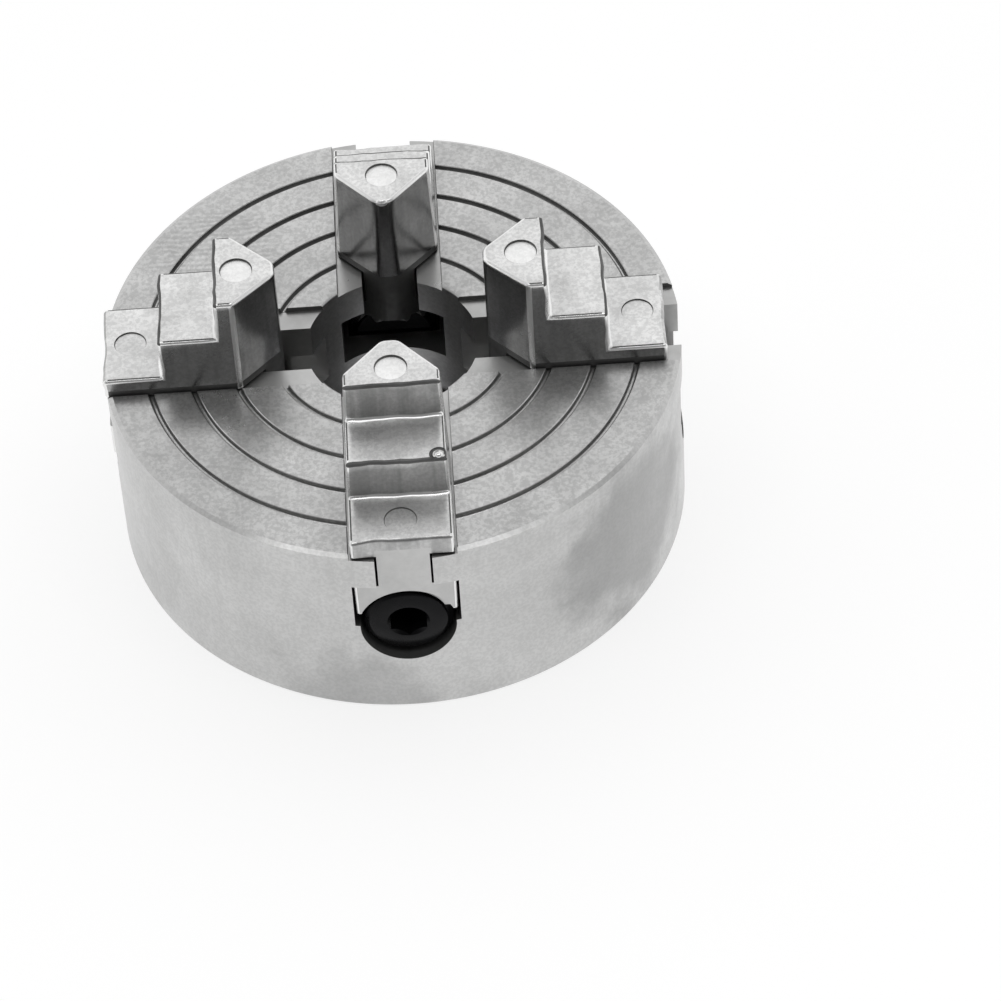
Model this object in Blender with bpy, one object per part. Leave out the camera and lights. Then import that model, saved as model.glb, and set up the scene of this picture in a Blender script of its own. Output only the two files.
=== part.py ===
"""Four-jaw independent lathe chuck, 65 mm across, as an assembly of its separate pieces.

Metres, +Z up. The origin is on the chuck's axis at its back face, so the chuck stands on its back.
Each jaw slides in its own T-slot, driven by a screw that a thrust yoke holds from behind.
A jaw, its screw, its yoke and the yoke's plug hang from one empty, which lies on the screw's axis
with its X axis pointing outwards. Their own measures are counted from there.
"""

import math

import bmesh
import bpy
from mathutils import Matrix

MM = 0.001
GAP = 0.3 * MM                     # between neighbouring pieces
REACH = 60 * MM                    # longer than any piece, for cutters that run right through

BODY_RADIUS = 32.5 * MM
BODY_HEIGHT = 25.2 * MM
BODY_CHAMFER = 0.4 * MM
BODY_SEGMENTS = 64
BORE_RADIUS = 9.7 * MM
GROOVE_RADII = (13.5 * MM, 18.3 * MM, 23.1 * MM, 27.8 * MM)
GROOVE_WIDTH = 0.8 * MM
GROOVE_DEPTH = 0.5 * MM

SLOT_START = 6.5 * MM              # inside the bore, where the four slots don't meet yet
SEAT_HALF_WIDTH = 6.05 * MM        # shallow seat along each slot
SEAT_DEPTH = 0.6 * MM
NECK_HALF_WIDTH = 3.15 * MM        # the slot's narrow part
NECK_DEPTH = 5.0 * MM
FLANGE_HALF_WIDTH = 5.85 * MM      # the slot's wide part
FLANGE_DEPTH = 11.5 * MM

JAW_LENGTH = 19.9 * MM
JAW_TIP_HALF_WIDTH = 1.0 * MM
JAW_STEPS = ((6.85 * MM, 12.7 * MM), (13.35 * MM, 7.5 * MM), (JAW_LENGTH, 2.1 * MM))
JAW_SEAT_HALF_WIDTH = 5.75 * MM
JAW_TOP_HALF_WIDTH = 5.3 * MM
JAW_FOOT_DEPTH = 9.9 * MM          # the jaw's lowest point, below the chuck's face
NUT_MOUTH_RADIUS = 5.5 * MM
NUT_MOUTH_DEPTH = 0.8 * MM

SCREW_HEIGHT = 13.4 * MM           # the screws' axes, above the back face
SCREW_START = 12.3 * MM            # inner end, from the chuck's axis
SCREW_END = 31.6 * MM              # outer end, just inside the rim
SCREW_CHAMFER = 0.6 * MM
THREAD_RADIUS = 5.0 * MM
THREAD_ROOT = 3.75 * MM
THREAD_PITCH = 2.0 * MM
THREAD_CREST_WIDTH = 0.6 * MM
THREAD_BASE_WIDTH = 1.2 * MM
THREAD_SIDE_GAP = 0.25 * MM
THREAD_SEGMENTS = 12
THREAD_LEAD = 0.36 * MM            # a ridge's place on the +Y side, outwards from the jaw's tip
KEY_ACROSS_FLATS = 4.0 * MM
KEY_SOCKET_DEPTH = 6.0 * MM
SCREW_NECK_RADIUS = 2.9 * MM
SCREW_NECK_WIDTH = 3.0 * MM

YOKE_DISTANCE = 21.5 * MM          # the yokes' axes, from the chuck's axis
YOKE_RADIUS = 4.5 * MM
YOKE_TONGUE = 2.4 * MM
YOKE_BOTTOM = 4.6 * MM
PLUG_BOTTOM = 0.4 * MM
PLUG_CHAMFER = 0.5 * MM
PLUG_SOCKET_DEPTH = 2.4 * MM
ROUND_SEGMENTS = 24                # bores, yokes and plugs

BUSH_FLANGE_RADIUS = 15.4 * MM
BUSH_FLANGE_HEIGHT = 4.0 * MM
BUSH_TOP = 7.5 * MM
BUSH_SEGMENTS = 36
SPINDLE_HOLE_RADIUS = 5.5 * MM     # inner radius of an M12 x 1 thread
SPINDLE_CHAMFER = 0.7 * MM
BUSH_SCREW_COUNT = 4
BUSH_SCREW_DISTANCE = 12.0 * MM
BUSH_SCREW_RADIUS = 1.5 * MM
BUSH_SCREW_END = 8.6 * MM
BUSH_SCREW_SINK = 0.2 * MM
BUSH_SCREW_HEAD_RADIUS = 2.6 * MM
BUSH_SCREW_RIM = 0.3 * MM
BUSH_SCREW_CONE = 1.1 * MM
BUSH_SCREW_ACROSS_FLATS = 2.0 * MM
BUSH_SCREW_SOCKET_DEPTH = 1.2 * MM
BUSH_SCREW_SEGMENTS = 16

# Each jaw's direction in degrees, and its tip's distance from the chuck's axis.
STATIONS = {
    "right": (0, 10.75 * MM),
    "back": (90, 9.3 * MM),
    "left": (180, 12.35 * MM),
    "front": (270, 12.0 * MM),
}

MACHINED_ZINC = ((0.72, 0.72, 0.71), 0.38, 0.9)
CAST_ZINC = ((0.76, 0.76, 0.75), 0.42, 0.85)
BLACK_STEEL = ((0.02, 0.02, 0.022), 0.35, 0.6)
BRIGHT_STEEL = ((0.50, 0.50, 0.51), 0.35, 1.0)

FACE = BODY_HEIGHT - SCREW_HEIGHT  # the chuck's face, above a screw's axis


# ---- shapes -------------------------------------------------------------------------------------

def solid(name, bm, parent=None, smooth=False):
    """Turns a closed bmesh into an object whose faces point out."""
    bmesh.ops.recalc_face_normals(bm, faces=bm.faces)
    mesh = bpy.data.meshes.new(name)
    bm.to_mesh(mesh)
    bm.free()
    if smooth:
        mesh.shade_smooth()
        mesh.set_sharp_from_angle(angle=math.radians(35))
    made = bpy.data.objects.new(name, mesh)
    bpy.context.scene.collection.objects.link(made)
    made.parent = parent
    return made


def turned(profile, segments, shift=0.0):
    """Turns (radius, height) points about Z. One that ends on the axis is full, any other is a ring.

    Shift turns the corners by a share of a segment, to keep them off a neighbour's corners.
    """
    bm = bmesh.new()
    rings = []
    for radius, height in profile:
        angles = [2 * math.pi * (i + shift) / segments for i in range(segments if radius else 1)]
        ring = [bm.verts.new((radius * math.cos(a), radius * math.sin(a), height)) for a in angles]
        rings.append(ring if radius else ring * segments)
    closed = profile[0][0] > 0
    followers = rings[1:] + rings[:1] if closed else rings[1:]
    for near, far in zip(rings, followers):
        for i in range(segments):
            j = (i + 1) % segments
            corners = dict.fromkeys((near[i], near[j], far[j], far[i]))
            bm.faces.new(list(corners))
    return bm


def lofted(sections):
    """Joins outlines with the same number of points by walls, and closes both ends."""
    bm = bmesh.new()
    rings = [[bm.verts.new(point) for point in section] for section in sections]
    for near, far in zip(rings, rings[1:]):
        for i, corner in enumerate(near):
            j = (i + 1) % len(near)
            bm.faces.new((corner, near[j], far[j], far[i]))
    bm.faces.new(rings[0])
    bm.faces.new(rings[-1])
    return bm


def box(low, high):
    """A box between two corners."""
    outline = [(low[0], low[1]), (high[0], low[1]), (high[0], high[1]), (low[0], high[1])]
    return lofted([[(x, y, z) for x, y in outline] for z in (low[2], high[2])])


def hexagon(across_flats, low, high):
    """A hexagonal rod along Z, with two corners on the X axis."""
    radius = across_flats / math.sqrt(3)
    return turned([(0, low), (radius, low), (radius, high), (0, high)], 6)


def mirrored(points):
    """An outline from its half at y > 0, with the other half added."""
    return points + [(x, -y) for x, y in reversed(points)]


def moved(bm, x=0.0, y=0.0, z=0.0):
    bmesh.ops.translate(bm, vec=(x, y, z), verts=bm.verts)
    return bm


def laid_outwards(bm):
    """Turns what was made along Z so that it lies along X."""
    turn = Matrix.Rotation(math.radians(90), 3, "Y")
    bmesh.ops.rotate(bm, matrix=turn, verts=bm.verts)
    return bm


def repeated(bm, count, first_angle=0.0):
    """Copies a shape round the Z axis."""
    source = list(bm.verts) + list(bm.edges) + list(bm.faces)
    for i in range(1, count):
        copy = bmesh.ops.duplicate(bm, geom=source)["geom"]
        corners = [item for item in copy if isinstance(item, bmesh.types.BMVert)]
        turn = Matrix.Rotation(2 * math.pi * i / count, 3, "Z")
        bmesh.ops.rotate(bm, matrix=turn, verts=corners)
    bmesh.ops.rotate(bm, matrix=Matrix.Rotation(first_angle, 3, "Z"), verts=bm.verts)
    return bm


def threaded_rod(tip, low, high, gap=0.0, side_gap=0.0):
    """A left-hand threaded rod along X that covers low to high, in step with the jaw at this tip.

    The outermost ridges are left off, so that each end closes with a plain fan of faces.
    """
    bm = bmesh.new()
    start = tip + THREAD_LEAD
    first = math.floor((low - start) / THREAD_PITCH) - 1
    last = math.ceil((high - start) / THREAD_PITCH) + 1
    base = THREAD_BASE_WIDTH / 2 + side_gap
    crest = THREAD_CREST_WIDTH / 2 + side_gap
    columns = []
    for i in range(THREAD_SEGMENTS):
        share = i / THREAD_SEGMENTS
        angle = 2 * math.pi * share
        column = []
        for turn in range(first, last + 1):
            ridge = THREAD_ROOT if turn in (first, last) else THREAD_RADIUS
            corners = ((-base, THREAD_ROOT), (-crest, ridge), (crest, ridge), (base, THREAD_ROOT))
            for offset, radius in corners:
                x = start + THREAD_PITCH * (turn - share) + offset
                y = (radius + gap) * math.cos(angle)
                z = (radius + gap) * math.sin(angle)
                column.append(bm.verts.new((x, y, z)))
        columns.append(column)
    turn_points = 4
    for near, far in zip(columns, columns[1:]):
        for i in range(len(near) - 1):
            bm.faces.new((near[i], near[i + 1], far[i + 1], far[i]))
    near, far = columns[-1], columns[0]
    for i in range(turn_points, len(near) - 1):
        bm.faces.new((near[i], near[i + 1], far[i + 1 - turn_points], far[i - turn_points]))
    low_loop = [column[0] for column in columns] + near[1:turn_points + 1]
    high_loop = [column[-1] for column in columns] + far[-turn_points - 1:-1]
    for loop, turn in ((low_loop, first - 0.5), (high_loop, last - 0.5)):
        centre = bm.verts.new((start + THREAD_PITCH * turn, 0, 0))
        for i, corner in enumerate(loop):
            bm.faces.new((corner, loop[(i + 1) % len(loop)], centre))
    return bm


def shape(piece, operation, name, bm):
    """Cuts a piece by a shape, or keeps what they share. The shape is a guide, not part of the chuck."""
    tool = solid(name, bm, piece.parent)
    tool.hide_render = True
    tool.display_type = "WIRE"
    modifier = piece.modifiers.new(name, "BOOLEAN")
    modifier.operation = operation
    modifier.solver = "EXACT"
    modifier.object = tool


def finish(piece, look):
    """Gives a piece its own Principled material."""
    colour, roughness, metallic = look
    material = bpy.data.materials.new(piece.name + "_finish")
    material.use_nodes = True
    shader = material.node_tree.nodes["Principled BSDF"]
    shader.inputs["Base Color"].default_value = (*colour, 1)
    shader.inputs["Roughness"].default_value = roughness
    shader.inputs["Metallic"].default_value = metallic
    piece.data.materials.append(material)


# ---- the body and its bush ----------------------------------------------------------------------

def t_slot():
    """One slot's section, drawn out along X from inside the bore to past the rim."""
    floor = BODY_HEIGHT - FLANGE_DEPTH
    ledge = BODY_HEIGHT - NECK_DEPTH
    seat = BODY_HEIGHT - SEAT_DEPTH
    half = [
        (FLANGE_HALF_WIDTH, floor), (FLANGE_HALF_WIDTH, ledge),
        (NECK_HALF_WIDTH, ledge), (NECK_HALF_WIDTH, seat),
        (SEAT_HALF_WIDTH, seat), (SEAT_HALF_WIDTH, REACH),
    ]
    outline = half + [(-y, z) for y, z in reversed(half)]
    return lofted([[(x, y, z) for y, z in outline] for x in (SLOT_START, REACH)])


def chuck_body():
    """The turned body, with its face grooves, T-slots, screw bores, yoke pockets and bush recess."""
    recess = BUSH_FLANGE_RADIUS + GAP
    floor = BUSH_FLANGE_HEIGHT + GAP
    profile = [
        (recess, 0), (BODY_RADIUS - BODY_CHAMFER, 0), (BODY_RADIUS, BODY_CHAMFER),
        (BODY_RADIUS, BODY_HEIGHT - BODY_CHAMFER), (BODY_RADIUS - BODY_CHAMFER, BODY_HEIGHT),
    ]
    for radius in reversed(GROOVE_RADII):
        outer = radius + GROOVE_WIDTH / 2
        inner = radius - GROOVE_WIDTH / 2
        bottom = BODY_HEIGHT - GROOVE_DEPTH
        profile += [(outer, BODY_HEIGHT), (outer, bottom), (inner, bottom), (inner, BODY_HEIGHT)]
    profile += [(BORE_RADIUS, BODY_HEIGHT), (BORE_RADIUS, floor), (recess, floor)]
    body = solid("chuck_body", turned(profile, BODY_SEGMENTS), smooth=True)

    bore = THREAD_RADIUS + GAP
    screw_bore = turned([(0, SCREW_START - GAP), (bore, SCREW_START - GAP), (bore, REACH), (0, REACH)],
                        ROUND_SEGMENTS)
    pocket = YOKE_RADIUS + GAP
    yoke_pocket = turned([(0, -REACH), (pocket, -REACH), (pocket, SCREW_HEIGHT), (0, SCREW_HEIGHT)],
                         ROUND_SEGMENTS, 0.5)
    hole = BUSH_SCREW_RADIUS + GAP
    screw_hole = turned([(0, 0), (hole, 0), (hole, BUSH_SCREW_END + GAP), (0, BUSH_SCREW_END + GAP)],
                        BUSH_SCREW_SEGMENTS)
    shape(body, "DIFFERENCE", "slots", repeated(t_slot(), 4))
    shape(body, "DIFFERENCE", "screw_bores", repeated(moved(laid_outwards(screw_bore), z=SCREW_HEIGHT), 4))
    shape(body, "DIFFERENCE", "yoke_pockets", repeated(moved(yoke_pocket, x=YOKE_DISTANCE), 4))
    shape(body, "DIFFERENCE", "bush_screw_holes",
          repeated(moved(screw_hole, x=BUSH_SCREW_DISTANCE), BUSH_SCREW_COUNT, math.radians(45)))
    finish(body, MACHINED_ZINC)


def spindle_bush():
    """The flanged steel bush in the back, threaded inside for the lathe's spindle."""
    hub = BORE_RADIUS - GAP
    wide = SPINDLE_HOLE_RADIUS + SPINDLE_CHAMFER
    profile = [
        (wide, 0), (BUSH_FLANGE_RADIUS, 0), (BUSH_FLANGE_RADIUS, BUSH_FLANGE_HEIGHT),
        (hub, BUSH_FLANGE_HEIGHT), (hub, BUSH_TOP), (wide, BUSH_TOP),
        (SPINDLE_HOLE_RADIUS, BUSH_TOP - SPINDLE_CHAMFER), (SPINDLE_HOLE_RADIUS, SPINDLE_CHAMFER),
    ]
    bush = solid("spindle_bush", turned(profile, BUSH_SEGMENTS), smooth=True)
    head = BUSH_SCREW_HEAD_RADIUS + GAP
    hole = BUSH_SCREW_RADIUS + GAP
    rim = BUSH_SCREW_SINK + BUSH_SCREW_RIM
    countersink = turned([(0, -REACH), (head, -REACH), (head, rim), (hole, rim + BUSH_SCREW_CONE + GAP),
                          (hole, REACH), (0, REACH)], BUSH_SCREW_SEGMENTS)
    shape(bush, "DIFFERENCE", "countersinks",
          repeated(moved(countersink, x=BUSH_SCREW_DISTANCE), BUSH_SCREW_COUNT, math.radians(45)))
    finish(bush, BRIGHT_STEEL)


def bush_screw(number):
    """One countersunk screw that holds the bush, with its head at the back face."""
    rim = BUSH_SCREW_SINK + BUSH_SCREW_RIM
    profile = [
        (0, BUSH_SCREW_SINK), (BUSH_SCREW_HEAD_RADIUS, BUSH_SCREW_SINK), (BUSH_SCREW_HEAD_RADIUS, rim),
        (BUSH_SCREW_RADIUS, rim + BUSH_SCREW_CONE), (BUSH_SCREW_RADIUS, BUSH_SCREW_END),
        (0, BUSH_SCREW_END),
    ]
    angle = math.radians(45) + 2 * math.pi * number / BUSH_SCREW_COUNT
    stand = bpy.data.objects.new(f"bush_screw_{number + 1}_place", None)
    stand.location = (BUSH_SCREW_DISTANCE * math.cos(angle), BUSH_SCREW_DISTANCE * math.sin(angle), 0)
    bpy.context.scene.collection.objects.link(stand)
    screw = solid(f"bush_screw_{number + 1}", turned(profile, BUSH_SCREW_SEGMENTS), stand, smooth=True)
    socket = hexagon(BUSH_SCREW_ACROSS_FLATS, -REACH, BUSH_SCREW_SINK + BUSH_SCREW_SOCKET_DEPTH)
    shape(screw, "DIFFERENCE", f"bush_screw_{number + 1}_socket", socket)
    finish(screw, BLACK_STEEL)


# ---- one station: a jaw, its screw, its thrust yoke and the plug --------------------------------

def jaw_plan(tip, half_width):
    """The jaw seen from above: a blunt tip, 45 degree sides and a straight shank."""
    shoulder = tip + half_width - JAW_TIP_HALF_WIDTH
    return mirrored([(tip, JAW_TIP_HALF_WIDTH), (shoulder, half_width), (tip + JAW_LENGTH, half_width)])


def jaw(name, tip, station):
    """The stepped jaw. Below the face it has a neck and a wide foot, whose underside is a half nut."""
    foot = FLANGE_HALF_WIDTH - GAP
    neck_middle = FACE - NECK_DEPTH / 2
    top = FACE + JAW_STEPS[0][1]
    seat_bottom = FACE - SEAT_DEPTH + GAP
    levels = (
        (FACE - JAW_FOOT_DEPTH, foot), (neck_middle, foot), (seat_bottom, JAW_SEAT_HALF_WIDTH),
        (top, JAW_TOP_HALF_WIDTH),
    )
    blank = lofted([[(x, y, z) for x, y in jaw_plan(tip, width)] for z, width in levels])
    piece = solid(name, blank, station)

    for (inner, _), (outer, height) in zip(JAW_STEPS, JAW_STEPS[1:]):
        air = box((tip + inner, -REACH, FACE + height), (tip + outer + GAP, REACH, REACH))
        shape(piece, "DIFFERENCE", f"{name}_air_{height / MM:.0f}", air)
    neck = NECK_HALF_WIDTH - GAP
    low = FACE - NECK_DEPTH - GAP
    for side, (near, far) in {"right": (-REACH, -neck), "left": (neck, REACH)}.items():
        groove = box((-REACH, near, low), (REACH, far, seat_bottom))
        shape(piece, "DIFFERENCE", f"{name}_{side}_groove", groove)
    nut = threaded_rod(tip, tip, tip + JAW_LENGTH, GAP, THREAD_SIDE_GAP)
    shape(piece, "DIFFERENCE", f"{name}_nut", nut)
    mouth = tip + JAW_LENGTH - NUT_MOUTH_DEPTH
    counterbore = turned([(0, mouth), (NUT_MOUTH_RADIUS, mouth), (NUT_MOUTH_RADIUS, REACH), (0, REACH)],
                         ROUND_SEGMENTS)
    shape(piece, "DIFFERENCE", f"{name}_nut_mouth", laid_outwards(counterbore))
    finish(piece, CAST_ZINC)


def jaw_screw(name, tip, station):
    """The left-hand screw, in mesh with its jaw's half nut, with a thrust neck and a key socket."""
    piece = solid(name, threaded_rod(tip, SCREW_START, SCREW_END), station, smooth=True)
    outside = THREAD_RADIUS + GAP / 2
    end = THREAD_RADIUS - SCREW_CHAMFER
    slope = outside - end
    neck_start = YOKE_DISTANCE - SCREW_NECK_WIDTH / 2
    neck_end = YOKE_DISTANCE + SCREW_NECK_WIDTH / 2
    envelope = turned([
        (0, SCREW_START), (end, SCREW_START), (outside, SCREW_START + slope), (outside, neck_start),
        (SCREW_NECK_RADIUS, neck_start), (SCREW_NECK_RADIUS, neck_end), (outside, neck_end),
        (outside, SCREW_END - slope), (end, SCREW_END), (0, SCREW_END),
    ], ROUND_SEGMENTS, 0.5)
    shape(piece, "INTERSECT", f"{name}_envelope", laid_outwards(envelope))
    socket = hexagon(KEY_ACROSS_FLATS, SCREW_END - KEY_SOCKET_DEPTH, REACH)
    shape(piece, "DIFFERENCE", f"{name}_socket", laid_outwards(socket))
    finish(piece, BLACK_STEEL)


def thrust_yoke(name, station):
    """A round slug with a tongue whose saddle holds the screw's neck, so the screw can't move endways."""
    bottom = YOKE_BOTTOM - SCREW_HEIGHT
    blank = turned([(0, bottom), (YOKE_RADIUS, bottom), (YOKE_RADIUS, 0), (0, 0)], ROUND_SEGMENTS)
    piece = solid(name, moved(blank, x=YOKE_DISTANCE), station, smooth=True)
    shoulder = -THREAD_RADIUS - GAP
    inner = YOKE_DISTANCE - YOKE_TONGUE / 2
    outer = YOKE_DISTANCE + YOKE_TONGUE / 2
    shape(piece, "DIFFERENCE", f"{name}_inner_side", box((0, -REACH, shoulder), (inner, REACH, REACH)))
    shape(piece, "DIFFERENCE", f"{name}_outer_side", box((outer, -REACH, shoulder), (REACH, REACH, REACH)))
    saddle = SCREW_NECK_RADIUS + GAP
    rod = turned([(0, 0), (saddle, 0), (saddle, REACH), (0, REACH)], ROUND_SEGMENTS)
    shape(piece, "DIFFERENCE", f"{name}_saddle", laid_outwards(rod))
    finish(piece, BRIGHT_STEEL)


def yoke_plug(name, station):
    """The plug behind the yoke, screwed in from the back with the same key as the jaws."""
    bottom = PLUG_BOTTOM - SCREW_HEIGHT
    top = YOKE_BOTTOM - GAP - SCREW_HEIGHT
    end = YOKE_RADIUS - PLUG_CHAMFER
    blank = turned([(0, bottom), (end, bottom), (YOKE_RADIUS, bottom + PLUG_CHAMFER),
                    (YOKE_RADIUS, top - PLUG_CHAMFER), (end, top), (0, top)], ROUND_SEGMENTS)
    piece = solid(name, moved(blank, x=YOKE_DISTANCE), station, smooth=True)
    socket = hexagon(KEY_ACROSS_FLATS, -REACH, bottom + PLUG_SOCKET_DEPTH)
    shape(piece, "DIFFERENCE", f"{name}_socket", moved(socket, x=YOKE_DISTANCE))
    finish(piece, BLACK_STEEL)


def build():
    for old in list(bpy.data.objects):
        bpy.data.objects.remove(old)
    chuck_body()
    spindle_bush()
    for number in range(BUSH_SCREW_COUNT):
        bush_screw(number)
    for place, (direction, tip) in STATIONS.items():
        station = bpy.data.objects.new(f"station_{place}", None)
        station.location = (0, 0, SCREW_HEIGHT)
        station.rotation_euler = (0, 0, math.radians(direction))
        bpy.context.scene.collection.objects.link(station)
        jaw(f"jaw_{place}", tip, station)
        jaw_screw(f"jaw_screw_{place}", tip, station)
        thrust_yoke(f"thrust_yoke_{place}", station)
        yoke_plug(f"yoke_plug_{place}", station)


build()
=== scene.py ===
"""Looks of a small four-jaw lathe chuck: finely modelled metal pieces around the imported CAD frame.

Metres, +Z up. The chuck stands on its back face, with its axis on the Z axis.
A jaw and what drives it are modelled with the screw's axis on X, pointing outwards, and are then
turned about the chuck's axis to their station.
"""

import math

import bmesh
import bpy
from mathutils import Matrix, Vector


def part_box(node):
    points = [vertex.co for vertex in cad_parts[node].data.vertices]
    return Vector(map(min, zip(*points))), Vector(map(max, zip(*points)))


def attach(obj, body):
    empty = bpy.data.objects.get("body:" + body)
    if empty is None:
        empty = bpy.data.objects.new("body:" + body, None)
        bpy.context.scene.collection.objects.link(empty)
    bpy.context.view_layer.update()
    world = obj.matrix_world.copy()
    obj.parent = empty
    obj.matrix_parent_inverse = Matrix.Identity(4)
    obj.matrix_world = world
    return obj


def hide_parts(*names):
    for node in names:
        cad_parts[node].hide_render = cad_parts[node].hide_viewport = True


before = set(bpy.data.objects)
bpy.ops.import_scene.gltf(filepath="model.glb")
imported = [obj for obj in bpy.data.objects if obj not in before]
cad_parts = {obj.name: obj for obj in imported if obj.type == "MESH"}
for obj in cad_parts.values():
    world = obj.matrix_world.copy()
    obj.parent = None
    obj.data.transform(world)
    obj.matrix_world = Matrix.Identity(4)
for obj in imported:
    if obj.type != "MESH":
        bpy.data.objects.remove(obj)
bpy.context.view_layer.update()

MM = 0.001
WELD = 0.001 * MM                  # corners closer than this are one
FAR = 60 * MM                      # longer than any piece, for cutters that run right through
RIGHT_ANGLE = math.radians(90)

# Sizes read from the frame.
BODY_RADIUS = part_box("chuck_body")[1].x
FACE_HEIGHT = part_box("chuck_body")[1].z
SCREW_LOW, SCREW_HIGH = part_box("jaw_screw_right")
SCREW_HEIGHT = (SCREW_LOW.z + SCREW_HIGH.z) / 2
SCREW_START = SCREW_LOW.x
SCREW_END = SCREW_HIGH.x
FACE = FACE_HEIGHT - SCREW_HEIGHT  # the chuck's face, above a screw's axis
JAW_LOW, JAW_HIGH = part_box("jaw_right")
JAW_LENGTH = JAW_HIGH.x - JAW_LOW.x
YOKE_DISTANCE = (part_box("thrust_yoke_right")[0].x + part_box("thrust_yoke_right")[1].x) / 2
BUSH_SCREW_DISTANCE = sum(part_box("bush_screw_1"), Vector()).xy.length / 2

# Each station's direction in degrees, and how far its jaw's tip is from the chuck's axis.
STATIONS = {
    "right": (0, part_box("jaw_right")[0].x),
    "back": (90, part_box("jaw_back")[0].y),
    "left": (180, -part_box("jaw_left")[1].x),
    "front": (270, -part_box("jaw_front")[1].y),
}

BORE_RADIUS = 9.7 * MM
GROOVE_RADII = (13.5 * MM, 18.3 * MM, 23.1 * MM, 27.8 * MM)
GROOVE_HALF_WIDTH = 0.31 * MM
GROOVE_DEPTH = 0.55 * MM
GROOVE_LIP = 0.08 * MM
# Painted shade lies low on the outer wall of each face groove, from this far outside its middle.
GROOVE_SHADE_START = 0.08 * MM     # outside a groove's middle
EDGE_RADIUS = 0.35 * MM            # the body's back rim
RIM_WIDTH = 0.5 * MM               # the flat chamfer round the face
RIM_DROP = 0.3 * MM

SLOT_START = 6.5 * MM
SEAT_HALF_WIDTH = 5.93 * MM
SEAT_DEPTH = 0.6 * MM
SLOT_CHAMFER = 0.1 * MM
NECK_HALF_WIDTH = 3.15 * MM
NECK_DEPTH = 5.0 * MM
NECK_GAP = 0.3 * MM                # round a screw's neck, in its yoke
FLANGE_HALF_WIDTH = 5.85 * MM
FLANGE_DEPTH = 11.5 * MM

# Lengths from a jaw's tip, and heights over the chuck's face.
JAW_STEPS = ((6.85 * MM, 12.7 * MM), (13.35 * MM, 7.5 * MM), (JAW_LENGTH, 2.1 * MM))
JAW_HALF_WIDTH = 5.75 * MM
JAW_TOP_HALF_WIDTH = 5.3 * MM
JAW_TIP_HALF_WIDTH = 1.0 * MM
JAW_SEAT = -0.35 * MM
JAW_FOOT = -9.9 * MM
JAW_FOOT_HALF_WIDTH = 5.6 * MM
JAW_NECK_HALF_WIDTH = 2.9 * MM
JAW_FLANGE = -5.2 * MM
JAW_GRID = 0.9 * MM
JAW_END_ROUNDING = 0.5 * MM
RIPPLE_REACH = 1.5 * MM            # how far from a step's edge the casting is uneven
EDGE_WIDTH = 0.36 * MM
# Step edges get a line of painted shade within this reach.
DARK_EDGE_REACH = 0.6 * MM         # how far from a step's edge its dark line can be
MARK_RADIUS = 1.85 * MM
TOP_MARK = 4.2 * MM
TOP_MARK_DEPTH = 0.25 * MM
LOW_MARK = 16.9 * MM
LOW_MARK_DEPTH = 0.16 * MM
NUT_MOUTH_RADIUS = 5.5 * MM
NUT_MOUTH_DEPTH = 0.8 * MM

THREAD_RADIUS = 5.0 * MM
THREAD_ROOT = 4.35 * MM
THREAD_PITCH = 2.0 * MM
THREAD_CREST = 0.6 * MM
THREAD_BASE = 1.2 * MM
THREAD_SIDE_GAP = 0.25 * MM
THREAD_GAP = 0.2 * MM
THREAD_LEAD = 0.36 * MM
SCREW_CHAMFER = 0.75 * MM
SCREW_NECK_RADIUS = 2.9 * MM
SCREW_NECK_WIDTH = 3.0 * MM
KEY_ACROSS_FLATS = 4.0 * MM
KEY_DEPTH = 6.0 * MM
SCREW_BORE_RADIUS = 5.3 * MM

YOKE_RADIUS = 4.5 * MM
YOKE_TONGUE = 2.4 * MM
YOKE_BOTTOM = 4.6 * MM
POCKET_RADIUS = 4.8 * MM
PLUG_BOTTOM = 0.4 * MM
PLUG_TOP = 4.3 * MM
PLUG_SOCKET_DEPTH = 2.4 * MM

BUSH_RADIUS = 15.4 * MM
BUSH_RECESS = 15.7 * MM
BUSH_FLANGE = 4.0 * MM
BUSH_HUB_RADIUS = 9.4 * MM
BUSH_TOP = 7.5 * MM
SPINDLE_ROOT = 5.5 * MM
SPINDLE_CREST = 6.0 * MM
SPINDLE_PITCH = 1.0 * MM
BUSH_SCREW_RADIUS = 1.5 * MM
BUSH_SCREW_HEAD = 2.6 * MM
BUSH_SCREW_SINK = 0.2 * MM
BUSH_SCREW_RIM = 0.3 * MM
BUSH_SCREW_CONE = 1.1 * MM
BUSH_SCREW_END = 8.6 * MM
BUSH_SCREW_KEY = 2.0 * MM
BUSH_SCREW_KEY_DEPTH = 1.2 * MM

# ---- hand tools ---------------------------------------------------------------------------------


def deselect():
    bpy.ops.object.select_all(action="DESELECT")


def hold(piece):
    """Makes one piece the only selected one, and the active one."""
    deselect()
    bpy.context.view_layer.objects.active = piece
    piece.select_set(True)


def pick_all():
    bpy.ops.mesh.select_all(action="SELECT")


def pick_none():
    bpy.ops.mesh.select_all(action="DESELECT")


def weld():
    """In edit mode, makes one corner of the picked corners that lie together."""
    bpy.ops.mesh.remove_doubles(threshold=WELD)


def face_outwards():
    """In edit mode, turns the picked faces so that they look out of the piece."""
    bpy.ops.mesh.normals_make_consistent(inside=False)


def open_mesh(piece):
    """Enters edit mode with all of the piece selected."""
    hold(piece)
    bpy.ops.object.mode_set(mode="EDIT")
    pick_all()


def close_mesh():
    bpy.ops.object.mode_set(mode="OBJECT")


def pick_faces(test):
    """In edit mode, selects only the faces whose middle and direction pass the test."""
    bpy.ops.mesh.select_mode(type="FACE")
    pick_none()
    mesh = bpy.context.object.data
    bm = bmesh.from_edit_mesh(mesh)
    for face in bm.faces:
        face.select_set(test(face.calc_center_median(), face.normal))
    bmesh.update_edit_mesh(mesh)


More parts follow.
